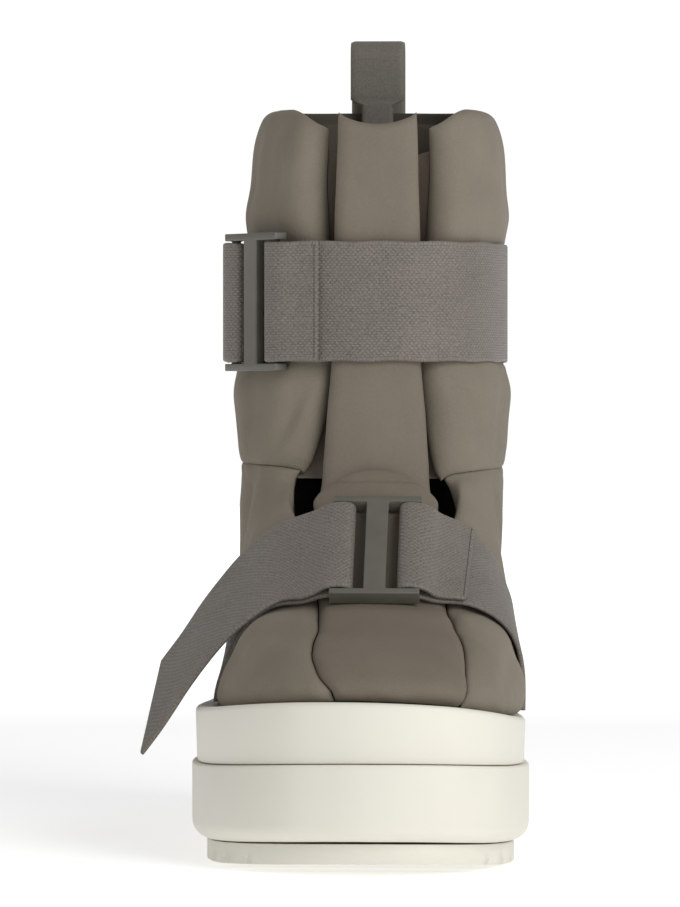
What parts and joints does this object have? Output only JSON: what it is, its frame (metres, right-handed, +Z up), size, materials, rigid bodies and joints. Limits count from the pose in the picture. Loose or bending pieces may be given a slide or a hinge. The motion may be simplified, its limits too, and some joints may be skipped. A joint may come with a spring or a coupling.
{
  "type": "boot",
  "caption": "Tall padded boot for the right foot, with a two tier platform sole, wide webbing straps, slide buckles and a pull loop.",
  "frame": {"origin": "on the floor plane, under the middle of the sole, at the flat tread between forefoot and waist", "axes": "+Z up, +Y towards the heel, +X towards the inner side of the right foot"},
  "size_m": [0.1567, 0.32, 0.342],
  "materials": {
    "pale_rubber": "matte",
    "insole_board": "matte",
    "padded_cloth": "matte",
    "tongue_cloth": "matte",
    "webbing": "satin",
    "painted_buckle": "satin",
    "loop_tape": "matte"
  },
  "bodies": {
    "root": {"outsole": "pale_rubber", "platform": "pale_rubber", "midsole": "pale_rubber", "insole": "insole_board", "upper": "padded_cloth", "tongue": "tongue_cloth", "ankle_strap": "webbing", "ankle_buckle": "painted_buckle", "instep_strap_inner": "webbing", "instep_strap_outer": "webbing", "instep_buckle": "painted_buckle", "pull_loop": "loop_tape"}
  },
  "joints": []
}
